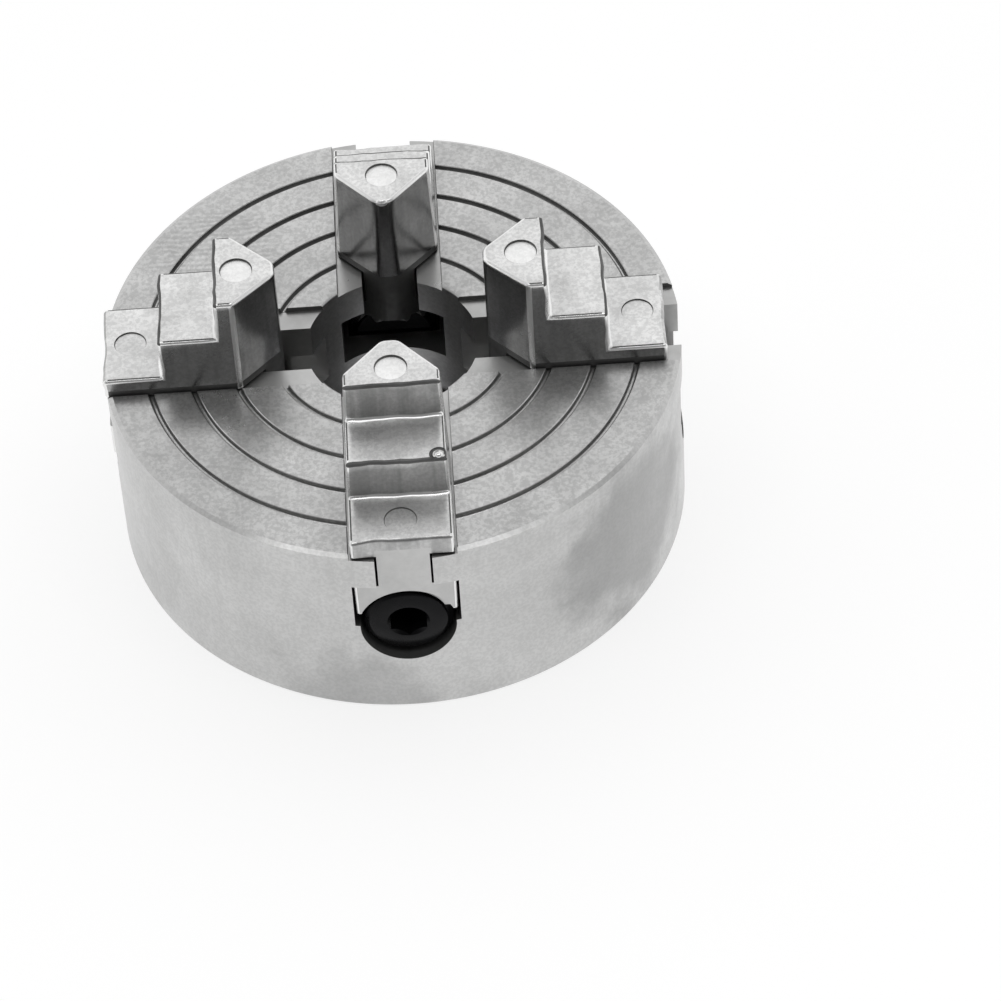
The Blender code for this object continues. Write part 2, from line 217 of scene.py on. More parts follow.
def pick_edges(test):
    """In edit mode, selects only the edges whose two ends pass the test."""
    bpy.ops.mesh.select_mode(type="EDGE")
    pick_none()
    mesh = bpy.context.object.data
    bm = bmesh.from_edit_mesh(mesh)
    for edge in bm.edges:
        edge.select_set(test(edge.verts[0].co, edge.verts[1].co))
    bmesh.update_edit_mesh(mesh)


def settle(piece):
    """Moves a piece's place, turn and scale into its mesh."""
    hold(piece)
    bpy.ops.object.transform_apply(location=True, rotation=True, scale=True)


def block(name, low, high):
    """A box between two corners."""
    deselect()
    middle = (Vector(low) + Vector(high)) / 2
    bpy.ops.mesh.primitive_cube_add(size=1, location=middle, scale=Vector(high) - Vector(low))
    piece = bpy.context.object
    piece.name = name
    settle(piece)
    return piece


def rod(name, radius, low, high, sides=96, x=0.0):
    """A round or sided rod along Z."""
    deselect()
    bpy.ops.mesh.primitive_cylinder_add(vertices=sides, radius=radius, depth=high - low,
                                        location=(x, 0, (low + high) / 2))
    piece = bpy.context.object
    piece.name = name
    settle(piece)
    return piece


def key_socket(name, across_flats, low, high):
    """A hexagonal rod along Z, with two corners on the X axis."""
    piece = rod(name, across_flats / math.sqrt(3), low, high, 6)
    piece.rotation_euler.z = math.radians(30)
    settle(piece)
    return piece


def arc(middle, radius, start, end, steps=5):
    """Points of a round stretch of a section, with its angles in degrees from the outward side."""
    angles = [math.radians(start + (end - start) * i / steps) for i in range(steps + 1)]
    return [(middle[0] + radius * math.cos(a), middle[1] + radius * math.sin(a)) for a in angles]


def draw(name, corners, closed=False):
    """Draws a line in edit mode, from corner to corner. Edit mode stays on."""
    deselect()
    bpy.ops.mesh.primitive_plane_add(size=MM)
    piece = bpy.context.object
    piece.name = name
    bpy.ops.object.mode_set(mode="EDIT")
    bpy.ops.mesh.select_mode(type="VERT")
    pick_all()
    bpy.ops.mesh.merge(type="CENTER")
    bpy.ops.transform.translate(value=corners[0])
    ends = corners[1:] + corners[:1] if closed else corners[1:]
    for start, end in zip(corners, ends):
        step = Vector(end) - Vector(start)
        bpy.ops.mesh.extrude_region_move(TRANSFORM_OT_translate={"value": step})
    pick_all()
    weld()
    return piece


def lathe(name, section, segments=96):
    """Draws half a section as (distance from the axis, height) points, and spins it about Z."""
    piece = draw(name, [(radius, 0, height) for radius, height in section], section[0][0] > 0)
    bpy.ops.mesh.spin(steps=segments, angle=2 * math.pi, center=(0, 0, 0), axis=(0, 0, 1))
    pick_all()
    weld()
    face_outwards()
    close_mesh()
    return piece


def lay_outwards(piece):
    """Turns what was made along Z so that it lies along X."""
    piece.rotation_euler = (0, RIGHT_ANGLE, 0)
    settle(piece)
    return piece


def shift(piece, x=0.0, y=0.0, z=0.0):
    piece.location = (x, y, z)
    settle(piece)
    return piece


def to_station(piece, direction):
    """Turns a piece about the chuck's axis to its station, and lifts it to the screws' height."""
    piece.location = (0, 0, SCREW_HEIGHT)
    piece.rotation_euler = (0, 0, math.radians(direction))
    settle(piece)
    return piece


def ring_of(piece, count, first=0.0):
    """Copies a cutter round the chuck's axis, and joins the copies."""
    copies = []
    for i in range(1, count):
        other = piece.copy()
        other.data = piece.data.copy()
        other.rotation_euler.z = 2 * math.pi * i / count
        bpy.context.scene.collection.objects.link(other)
        copies.append(other)
    hold(piece)
    for other in copies:
        other.select_set(True)
    bpy.ops.object.join()
    piece.rotation_euler.z = first
    settle(piece)
    return piece


def apply(piece, modifier):
    hold(piece)
    bpy.ops.object.modifier_apply(modifier=modifier.name)


def shape(piece, operation, tool, finish=None):
    """Cuts a piece by a tool, joins it, or keeps what they share. A finish goes to the cut faces."""
    if finish:
        tool.data.materials.append(finish)
    modifier = piece.modifiers.new(operation.lower(), "BOOLEAN")
    modifier.operation = operation
    modifier.solver = "EXACT"
    modifier.material_mode = "TRANSFER"
    modifier.object = tool
    apply(piece, modifier)
    bpy.data.objects.remove(tool)


def round_edges(piece, width):
    """Rounds every sharp edge of a piece."""
    modifier = piece.modifiers.new("round_edges", "BEVEL")
    modifier.limit_method = "ANGLE"
    modifier.width = width
    modifier.segments = 2
    apply(piece, modifier)


def wave(piece, name, direction, strength, size):
    """Pushes the corners of the group "loose" to and fro along one axis, in slow random waves."""
    texture = bpy.data.textures.new(name, "CLOUDS")
    texture.noise_scale = size
    texture.noise_depth = 1
    modifier = piece.modifiers.new(name, "DISPLACE")
    modifier.texture = texture
    modifier.texture_coords = "GLOBAL"
    modifier.direction = direction
    modifier.strength = strength
    modifier.vertex_group = "loose"
    apply(piece, modifier)


def smooth(piece, angle=35):
    hold(piece)
    bpy.ops.object.shade_smooth_by_angle(angle=math.radians(angle))


def threaded_rod(name, low, high, start, pitch, crest, base, root, outside, steps=48):
    """A left-hand threaded rod along X that covers low to high, closed at both ends by cones.

    The ridge passes the +Y side at start, and once every pitch from there.
    """
    first = start + pitch * (math.floor((low - start) / pitch) - 1)
    turns = math.ceil((high - first) / pitch) + 1
    outline = ((-base / 2, root), (-crest / 2, outside), (crest / 2, outside), (base / 2, root),
               (pitch - base / 2, root))
    piece = draw(name, [(first + x, radius, 0) for x, radius in outline])
    close_mesh()
    modifier = piece.modifiers.new("thread", "SCREW")
    modifier.axis = "X"
    modifier.angle = -2 * math.pi
    modifier.screw_offset = pitch
    modifier.iterations = turns
    modifier.steps = steps
    modifier.render_steps = steps
    modifier.use_merge_vertices = True
    modifier.merge_threshold = WELD
    apply(piece, modifier)
    open_mesh(piece)
    weld()
    middle = first + pitch * turns / 2
    for side in (-1, 1):
        bpy.ops.mesh.select_mode(type="EDGE")
        pick_none()
        bpy.ops.mesh.select_non_manifold(extend=False)
        bm = bmesh.from_edit_mesh(piece.data)
        for edge in bm.edges:
            if edge.select and (edge.verts[0].co.x - middle) * side < 0:
                edge.select_set(False)
        bmesh.update_edit_mesh(piece.data)
        bpy.ops.mesh.extrude_region_move(TRANSFORM_OT_translate={"value": (side * pitch / 2, 0, 0)})
        bpy.ops.mesh.merge(type="CENTER")
    pick_all()
    face_outwards()
    close_mesh()
    return piece


def finished(piece, node, body, angle=35):
    """Hands a finished piece over to the frame in place of its CAD node."""
    smooth(piece, angle)
    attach(piece, body)
    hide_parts(node)


# ---- finishes -----------------------------------------------------------------------------------


def add(tree, kind, inputs=None, **settings):
    """Adds a shader node. Its inputs take plain values or other nodes' outputs."""
    made = tree.nodes.new("ShaderNode" + kind)
    for key, value in settings.items():
        setattr(made, key, value)
    for socket, source in (inputs or {}).items():
        if isinstance(source, bpy.types.NodeSocket):
            tree.links.new(source, made.inputs[socket])
        else:
            made.inputs[socket].default_value = source
    return made


def start_group(name, inputs, output):
    """Starts a shader node group, with its inputs and its one output, which varies over the surface."""
    tree = bpy.data.node_groups.new(name, "ShaderNodeTree")
    for key in inputs:
        kind = "NodeSocketVector" if key in ("Vector", "Centre") else "NodeSocketFloat"
        tree.interface.new_socket(key, in_out="INPUT", socket_type=kind)
    tree.interface.new_socket(output, in_out="OUTPUT", socket_type="NodeSocketFloat")
    return tree, tree.nodes.new("NodeGroupInput").outputs, tree.nodes.new("NodeGroupOutput").inputs


def mottle_group():
    """Soft patches, from 0 to 1."""
    tree, given, result = start_group("mottle", ("Vector", "Scale", "Sharpness"), "Mask")
    noise = add(tree, "TexNoise", {"Vector": given["Vector"], "Scale": given["Scale"],
                                   "Detail": 5.0, "Roughness": 0.6})
    centred = add(tree, "Math", {0: noise.outputs[0], 1: 0.5}, operation="SUBTRACT")
    steep = add(tree, "Math", {0: centred.outputs[0], 1: given["Sharpness"], 2: 0.5},
                operation="MULTIPLY_ADD", use_clamp=True)
    tree.links.new(steep.outputs[0], result["Mask"])
    return tree


def turning_group():
    """Fine rings that a lathe tool leaves round the Z axis, on faces and on round sides alike."""
    tree, given, result = start_group("turning_marks", ("Vector", "Scale"), "Height")
    parts = add(tree, "SeparateXYZ", {"Vector": given["Vector"]})
    flat = add(tree, "CombineXYZ", {"X": parts.outputs["X"], "Y": parts.outputs["Y"]})
    radius = add(tree, "VectorMath", {0: flat.outputs[0]}, operation="LENGTH")
    angle = add(tree, "Math", {0: parts.outputs["Y"], 1: parts.outputs["X"]}, operation="ARCTAN2")
    slow = add(tree, "Math", {0: angle.outputs[0], 1: 0.0012}, operation="MULTIPLY")
    place = add(tree, "CombineXYZ", {"X": radius.outputs["Value"], "Y": parts.outputs["Z"],
                                     "Z": slow.outputs[0]})
    noise = add(tree, "TexNoise", {"Vector": place.outputs[0], "Scale": given["Scale"],
                                   "Detail": 3.0, "Roughness": 0.7})
    tree.links.new(noise.outputs[0], result["Height"])
    return tree


def streak_group(name, squash):
    """Straight marks, long in the direction that is squashed."""
    tree, given, result = start_group(name, ("Vector", "Scale", "Sharpness"), "Height")
    drawn = add(tree, "Mapping", {"Vector": given["Vector"], "Scale": squash})
    noise = add(tree, "TexNoise", {"Vector": drawn.outputs[0], "Scale": given["Scale"],
                                   "Detail": 4.0, "Roughness": 0.65})
    centred = add(tree, "Math", {0: noise.outputs[0], 1: 0.5}, operation="SUBTRACT")
    steep = add(tree, "Math", {0: centred.outputs[0], 1: given["Sharpness"], 2: 0.5},
                operation="MULTIPLY_ADD", use_clamp=True)
    tree.links.new(steep.outputs[0], result["Height"])
    return tree


def dark_patch_group():
    """One patch with a ragged edge, from 1 inside its radius to 0 outside."""
    tree, given, result = start_group("dark_patch", ("Vector", "Centre", "Radius", "Ragged"), "Mask")
    far = add(tree, "VectorMath", {0: given["Vector"], 1: given["Centre"]}, operation="DISTANCE")
    noise = add(tree, "TexNoise", {"Vector": given["Vector"], "Scale": 190.0,
                                   "Detail": 4.0, "Roughness": 0.5})
    centred = add(tree, "Math", {0: noise.outputs[0], 1: 0.5}, operation="SUBTRACT")
    uneven = add(tree, "Math", {0: centred.outputs[0], 1: given["Ragged"], 2: far.outputs["Value"]},
                 operation="MULTIPLY_ADD")
    inside = add(tree, "Math", {0: given["Radius"], 1: uneven.outputs[0]}, operation="SUBTRACT")
    mask = add(tree, "MapRange", {"Value": inside.outputs[0], "From Min": -2.6 * MM,
                                  "From Max": 4.2 * MM}, interpolation_type="SMOOTHSTEP")
    tree.links.new(mask.outputs[0], result["Mask"])
    return tree


def chatter_group():
    """A patch of even tool chatter across the Y axis, fading out at its radius."""
    tree, given, result = start_group("chatter", ("Vector", "Centre", "Radius"), "Mask")
    far = add(tree, "VectorMath", {0: given["Vector"], 1: given["Centre"]}, operation="DISTANCE")
    inside = add(tree, "Math", {0: given["Radius"], 1: far.outputs["Value"]}, operation="SUBTRACT")
    near = add(tree, "MapRange", {"Value": inside.outputs[0], "From Min": 0.0, "From Max": 4 * MM},
               interpolation_type="SMOOTHSTEP")
    bands = add(tree, "TexWave", {"Vector": given["Vector"], "Scale": 420.0, "Distortion": 5.0,
                                  "Detail": 3.0, "Detail Scale": 1.0}, bands_direction="Y")
    mask = add(tree, "Math", {0: near.outputs[0], 1: bands.outputs["Fac"]}, operation="MULTIPLY")
    tree.links.new(mask.outputs[0], result["Mask"])
    return tree


MOTTLE = mottle_group()
TURNING = turning_group()
ALONG_X = streak_group("lengthways_streaks", (0.06, 1.0, 1.0))
UPRIGHT = streak_group("upright_streaks", (1.0, 1.0, 0.05))
DARK_PATCH = dark_patch_group()
CHATTER = chatter_group()


def metal(name, dark, light, roughness, marks, shades=(), metallic=1.0, patches=160.0, grain=0.2):
    """A metal with patchy tone and gloss, darker shades over it, and a bump from several marks.

    Roughness is (smoothest, roughest). Grain is the share of the fine patches in the tone.
    Shades are (group, its values, share, grey). Marks are (group, its values, depth).
    """
    material = bpy.data.materials.new(name)
    material.use_nodes = True
    tree = material.node_tree
    shader = tree.nodes["Principled BSDF"]
    shader.inputs["Metallic"].default_value = metallic
    place = add(tree, "TexCoord").outputs["Object"]

    def group(kind, values):
        made = tree.nodes.new("ShaderNodeGroup")
        made.node_tree = kind
        tree.links.new(place, made.inputs["Vector"])
        for key, value in values.items():
            made.inputs[key].default_value = value
        return made.outputs[0]

    coarse = group(MOTTLE, {"Scale": patches, "Sharpness": 2.2})
    fine = group(MOTTLE, {"Scale": patches * 9, "Sharpness": 2.0})
    both = add(tree, "Mix", {"Factor": grain, "A": coarse, "B": fine})
    level = both.outputs["Result"]
    tone = add(tree, "Mix", {"Factor": level, "A": (*dark, 1), "B": (*light, 1)}, data_type="RGBA")
    colour = tone.outputs["Result"]
    for kind, values, share, grey in shades:
        part = add(tree, "Math", {0: group(kind, values), 1: share}, operation="MULTIPLY",
                   use_clamp=True)
        shaded = add(tree, "Mix", {"Factor": part.outputs[0], "A": colour, "B": (grey, grey, grey, 1)},
                     data_type="RGBA")
        colour = shaded.outputs["Result"]
    tree.links.new(colour, shader.inputs["Base Color"])
    gloss = add(tree, "MapRange", {"Value": level, "To Min": roughness[1], "To Max": roughness[0]})
    tree.links.new(gloss.outputs[0], shader.inputs["Roughness"])
    normal = None
    for kind, values, depth in marks:
        inputs = {"Height": group(kind, values), "Distance": depth, "Strength": 1.0}
        if normal:
            inputs["Normal"] = normal
        normal = add(tree, "Bump", inputs).outputs["Normal"]
    tree.links.new(normal, shader.inputs["Normal"])
    return material


PITS = {"Scale": 2400.0, "Sharpness": 9.0}
# Painted reflection: a darker ragged patch on the wall's right front, standing in for something dark
# reflected there.
WALL_PAINTED_REFLECTION = {"Centre": (26.0 * MM, -19.6 * MM, 13.0 * MM), "Radius": 12.0 * MM, "Ragged": 12 * MM}
# A darker ragged patch low on the wall's front.
LOW_DARK_PATCH = {"Centre": (-6.0 * MM, -31.0 * MM, 0.0 * MM), "Radius": 9.0 * MM, "Ragged": 12 * MM}
FACE_CHATTER = {"Centre": (-19.5 * MM, 15.5 * MM, 25.2 * MM), "Radius": 9.0 * MM}

TURNED_ZINC = metal(
    "turned_zinc", (0.51, 0.51, 0.505), (0.65, 0.65, 0.645), (0.27, 0.4),
    [(TURNING, {"Scale": 3200.0}, 0.005 * MM), (MOTTLE, {"Scale": 150.0, "Sharpness": 1.5}, 0.02 * MM)],
    [(MOTTLE, PITS, 0.18, 0.25),
     (UPRIGHT, {"Scale": 420.0, "Sharpness": 3.0}, 0.18, 0.36),
     # the wall's painted reflection patch
     (DARK_PATCH, WALL_PAINTED_REFLECTION, 0.56, 0.24),
     (DARK_PATCH, LOW_DARK_PATCH, 0.35, 0.24)],
    patches=95.0, grain=0.18)
FACED_ZINC = metal(
    "faced_zinc", (0.44, 0.44, 0.436), (0.72, 0.72, 0.715), (0.24, 0.4),
    [(TURNING, {"Scale": 2600.0}, 0.008 * MM), (MOTTLE, {"Scale": 150.0, "Sharpness": 1.5}, 0.03 * MM)],
    [(MOTTLE, PITS, 0.3, 0.2),
     (TURNING, {"Scale": 1500.0}, 0.25, 0.34),
     (CHATTER, FACE_CHATTER, 0.3, 0.25)],
    patches=100.0, grain=0.3)
MILLED_ZINC = metal(
    "milled_zinc", (0.40, 0.40, 0.396), (0.56, 0.56, 0.555), (0.25, 0.4),
    [(ALONG_X, {"Scale": 3000.0, "Sharpness": 1.5}, 0.005 * MM),
     (MOTTLE, {"Scale": 600.0, "Sharpness": 1.5}, 0.005 * MM)])
# The jaws' cast zinc comes in lit and shaded copies: this lighter one for the treads, darker ones for
# the risers and sides, as painted light and shade.
LIT_CAST_ZINC = metal(
    "cast_zinc", (0.6, 0.6, 0.595), (0.94, 0.94, 0.935), (0.3, 0.48),
    [(MOTTLE, {"Scale": 260.0, "Sharpness": 1.5}, 0.03 * MM),
     (MOTTLE, {"Scale": 1300.0, "Sharpness": 1.5}, 0.005 * MM)],
    [(MOTTLE, PITS, 0.25, 0.3), (UPRIGHT, {"Scale": 330.0, "Sharpness": 3.0}, 0.18, 0.42)],
    patches=190.0, grain=0.3)
# Darker copy of the cast zinc for the risers: painted shade.
SHADED_RISER_ZINC = metal(
    "shaded_riser_zinc", (0.40, 0.40, 0.397), (0.68, 0.68, 0.675), (0.3, 0.44),
    [(UPRIGHT, {"Scale": 900.0, "Sharpness": 1.5}, 0.004 * MM),
     (MOTTLE, {"Scale": 260.0, "Sharpness": 1.5}, 0.02 * MM)],
    [(MOTTLE, PITS, 0.2, 0.2), (UPRIGHT, {"Scale": 330.0, "Sharpness": 8.0}, 0.45, 0.24)], patches=180.0)
# Darker copy of the cast zinc for the sides: painted shade.
SHADED_SIDE_ZINC = metal(
    "shaded_side_zinc", (0.36, 0.36, 0.358), (0.50, 0.50, 0.497), (0.2, 0.3),
    [(UPRIGHT, {"Scale": 1300.0, "Sharpness": 1.5}, 0.003 * MM),
     (MOTTLE, {"Scale": 130.0, "Sharpness": 1.5}, 0.012 * MM)],
    [(UPRIGHT, {"Scale": 520.0, "Sharpness": 7.0}, 0.3, 0.24), (MOTTLE, PITS, 0.2, 0.15)], patches=120.0)
# Light edge finish: partly worn metal, partly a painted highlight standing in for the light that edge
# roundings and fillets catch.
WORN_ZINC_AND_HIGHLIGHT = metal(
    "worn_edge_and_painted_highlight", (0.74, 0.74, 0.735), (0.95, 0.95, 0.945), (0.22, 0.36),
    [(MOTTLE, {"Scale": 1500.0, "Sharpness": 1.5}, 0.015 * MM)])
FROSTED_ZINC = metal(
    "ejector_mark", (0.90, 0.90, 0.895), (0.99, 0.99, 0.985), (0.4, 0.6),
    [(MOTTLE, {"Scale": 700.0, "Sharpness": 2.0}, 0.02 * MM)], [(MOTTLE, PITS, 0.2, 0.6)], patches=420.0)
# Painted shade: a dark finish put where shade falls, in the face grooves, slot walls, screw bores, jaw
# seat lines, jaw undersides, step edges and mark rims.
PAINTED_SHADE = metal(
    "painted_shade_line", (0.06, 0.06, 0.059), (0.17, 0.17, 0.168), (0.45, 0.6),
    [(MOTTLE, {"Scale": 1500.0, "Sharpness": 1.5}, 0.01 * MM)], metallic=0.7)
BLACK_OXIDE = metal(
    "black_oxide_steel", (0.004, 0.004, 0.0045), (0.011, 0.011, 0.012), (0.18, 0.32),
    [(MOTTLE, {"Scale": 1200.0, "Sharpness": 1.5}, 0.005 * MM)], metallic=0.6)
TURNED_STEEL = metal(
    "turned_steel", (0.40, 0.40, 0.41), (0.52, 0.52, 0.53), (0.2, 0.36),
    [(TURNING, {"Scale": 3600.0}, 0.006 * MM),
     (MOTTLE, {"Scale": 1200.0, "Sharpness": 1.5}, 0.003 * MM)])
BLACK_OXIDE.node_tree.nodes["Principled BSDF"].inputs["Specular IOR Level"].default_value = 0.15

# ---- the body and its bush ----------------------------------------------------------------------


def slot_cutter():
    """One T-slot's section, drawn flat and extruded outwards. Its mouth is slightly flared."""
    half = [
        (FLANGE_HALF_WIDTH, -FLANGE_DEPTH), (FLANGE_HALF_WIDTH, -NECK_DEPTH),
        (NECK_HALF_WIDTH, -NECK_DEPTH), (NECK_HALF_WIDTH, -SEAT_DEPTH),
        (SEAT_HALF_WIDTH, -SEAT_DEPTH), (SEAT_HALF_WIDTH, -SLOT_CHAMFER),
        (SEAT_HALF_WIDTH + SLOT_CHAMFER, SLOT_CHAMFER),
    ]
    outline = half + [(-y, z) for y, z in reversed(half)]
    tool = draw("t_slot", [(SLOT_START, y, FACE_HEIGHT + z) for y, z in outline])
    bpy.ops.mesh.edge_face_add()
    bpy.ops.mesh.extrude_region_move(TRANSFORM_OT_translate={"value": (FAR, 0, 0)})
    pick_all()
    face_outwards()
    close_mesh()
    return tool


def in_groove(middle, normal):
    """Whether a face lies low on the outer wall of one of the face grooves, where shade is painted."""
    if not FACE_HEIGHT - 2 * GROOVE_DEPTH < middle.z < FACE_HEIGHT - GROOVE_LIP:
        return False
    return any(radius + GROOVE_SHADE_START < middle.xy.length < radius + GROOVE_HALF_WIDTH + WELD
               for radius in GROOVE_RADII)


def turned_body():
    """The body: rounded back rim, chamfered face rim, grooves, bore, slots and all its holes."""
    floor = BUSH_FLANGE + 0.3 * MM
    inside = BODY_RADIUS - EDGE_RADIUS
    section = [(BUSH_RECESS + 0.2 * MM, 0), (inside, 0)]
    section += arc((inside, EDGE_RADIUS), EDGE_RADIUS, -90, 0)[1:]
    section += [(BODY_RADIUS, FACE_HEIGHT - RIM_DROP), (BODY_RADIUS - RIM_WIDTH, FACE_HEIGHT)]
    for radius in reversed(GROOVE_RADII):
        outer = radius + GROOVE_HALF_WIDTH
        inner = radius - GROOVE_HALF_WIDTH
        bottom = FACE_HEIGHT - GROOVE_DEPTH
        section += [(outer + GROOVE_LIP, FACE_HEIGHT), (outer, FACE_HEIGHT - GROOVE_LIP)]
        section += arc((radius, bottom + 0.25 * MM), 0.28 * MM, 0, -180, 8)
        section += [(inner, FACE_HEIGHT - GROOVE_LIP), (inner - GROOVE_LIP, FACE_HEIGHT)]
    section += arc((BORE_RADIUS + 0.25 * MM, FACE_HEIGHT - 0.25 * MM), 0.25 * MM, 90, 180)
    section += [(BORE_RADIUS, floor), (BUSH_RECESS, floor), (BUSH_RECESS, 0.2 * MM)]
    body = lathe("turned_body", section, 288)
    body.data.materials.append(TURNED_ZINC)
    # Painted shade in the face grooves.
    give_faces(body, PAINTED_SHADE, in_groove, TURNED_ZINC)
    give_faces(body, FACED_ZINC, lambda middle, normal: normal.z > 0.95, TURNED_ZINC)

    shape(body, "DIFFERENCE", ring_of(slot_cutter(), 4), MILLED_ZINC)
    seat = FACE_HEIGHT - SEAT_DEPTH
    # Painted shade on the slot walls between the jaws' seats and the face.
    give_faces(body, PAINTED_SHADE, lambda middle, normal: abs(normal.z) < 0.9 and middle.z > seat, MILLED_ZINC)
    bore = lathe("screw_bore", [
        (0, SCREW_START - 0.3 * MM), (SCREW_BORE_RADIUS, SCREW_START - 0.3 * MM),
        (SCREW_BORE_RADIUS, FAR), (0, FAR),
    ])
    # Painted shade inside the screw bores.
    shape(body, "DIFFERENCE", ring_of(shift(lay_outwards(bore), z=SCREW_HEIGHT), 4), PAINTED_SHADE)
    pocket = rod("yoke_pocket", POCKET_RADIUS, -FAR, SCREW_HEIGHT, x=YOKE_DISTANCE)
    shape(body, "DIFFERENCE", ring_of(pocket, 4), MILLED_ZINC)
    hole = rod("bush_screw_hole", BUSH_SCREW_RADIUS + 0.3 * MM, 0, BUSH_SCREW_END + 0.3 * MM, 48,
               BUSH_SCREW_DISTANCE)
    shape(body, "DIFFERENCE", ring_of(hole, 4, math.radians(45)), MILLED_ZINC)
    finished(body, "chuck_body", "chuck", 25)


def threaded_bush():
    """The flanged steel bush, threaded inside for the lathe's spindle."""
    mouth = SPINDLE_CREST + 0.25 * MM
    rise = mouth - SPINDLE_ROOT
    soft = 0.25 * MM
    section = [(mouth, 0)]
    section += arc((BUSH_RADIUS - soft, soft), soft, -90, 0)
    section += arc((BUSH_RADIUS - soft, BUSH_FLANGE - soft), soft, 0, 90)
    section += [(BUSH_HUB_RADIUS, BUSH_FLANGE)]
    section += arc((BUSH_HUB_RADIUS - soft, BUSH_TOP - soft), soft, 0, 90)
    section += [(mouth, BUSH_TOP), (SPINDLE_ROOT, BUSH_TOP - rise), (SPINDLE_ROOT, rise)]
    bush = lathe("threaded_bush", section, 192)
    bush.data.materials.append(TURNED_STEEL)
    thread = threaded_rod("spindle_thread", -MM, BUSH_TOP + MM, 0, SPINDLE_PITCH, 0.12 * MM, 0.8 * MM,
                          SPINDLE_ROOT - 0.1 * MM, SPINDLE_CREST, 96)
    thread.rotation_euler = (0, -RIGHT_ANGLE, 0)
    thread.scale = (1, -1, 1)
    settle(thread)
    open_mesh(thread)
    face_outwards()
    close_mesh()
    shape(bush, "DIFFERENCE", thread)
    rim = BUSH_SCREW_SINK + BUSH_SCREW_RIM
    head = BUSH_SCREW_HEAD + 0.15 * MM
    hole = BUSH_SCREW_RADIUS + 0.15 * MM
    countersink = lathe("countersink", [
        (0, -FAR), (head, -FAR), (head, rim), (hole, rim + head - hole), (hole, FAR), (0, FAR),
    ], 48)
    shape(bush, "DIFFERENCE", ring_of(shift(countersink, x=BUSH_SCREW_DISTANCE), 4, math.radians(45)))
    finished(bush, "spindle_bush", "chuck")


def flange_screws():
    """The four countersunk screws that hold the bush."""
    rim = BUSH_SCREW_SINK + BUSH_SCREW_RIM
    soft = 0.12 * MM
    point = 0.3 * MM
    section = [
        (0, BUSH_SCREW_SINK), (BUSH_SCREW_HEAD - soft, BUSH_SCREW_SINK),
        (BUSH_SCREW_HEAD, BUSH_SCREW_SINK + soft), (BUSH_SCREW_HEAD, rim),
        (BUSH_SCREW_RADIUS, rim + BUSH_SCREW_CONE), (BUSH_SCREW_RADIUS, BUSH_SCREW_END - point),
        (BUSH_SCREW_RADIUS - point, BUSH_SCREW_END), (0, BUSH_SCREW_END),
    ]
    first = lathe("flange_screw", section, 64)
    first.data.materials.append(BLACK_OXIDE)
    depth = BUSH_SCREW_SINK + BUSH_SCREW_KEY_DEPTH
    shape(first, "DIFFERENCE", key_socket("key", BUSH_SCREW_KEY, -FAR, depth))
    mouth = BUSH_SCREW_KEY * 0.62
    dish = lathe("dish", [(0, -MM), (mouth + MM, -MM), (mouth - BUSH_SCREW_SINK, 0), (0, mouth)], 48)
    shape(first, "DIFFERENCE", shift(dish, z=BUSH_SCREW_SINK - 0.15 * MM))
    for number in range(4):
        angle = math.radians(45 + 90 * number)
        screw = first.copy()
        screw.data = first.data.copy()
        screw.name = f"flange_screw_{number + 1}"
        bpy.context.scene.collection.objects.link(screw)
        screw.location = Vector((math.cos(angle), math.sin(angle), 0)) * BUSH_SCREW_DISTANCE
        screw.rotation_euler.z = math.radians(20 + 31 * number)
        settle(screw)
        finished(screw, f"bush_screw_{number + 1}", "chuck")
    bpy.data.objects.remove(first)


# ---- one station --------------------------------------------------------------------------------


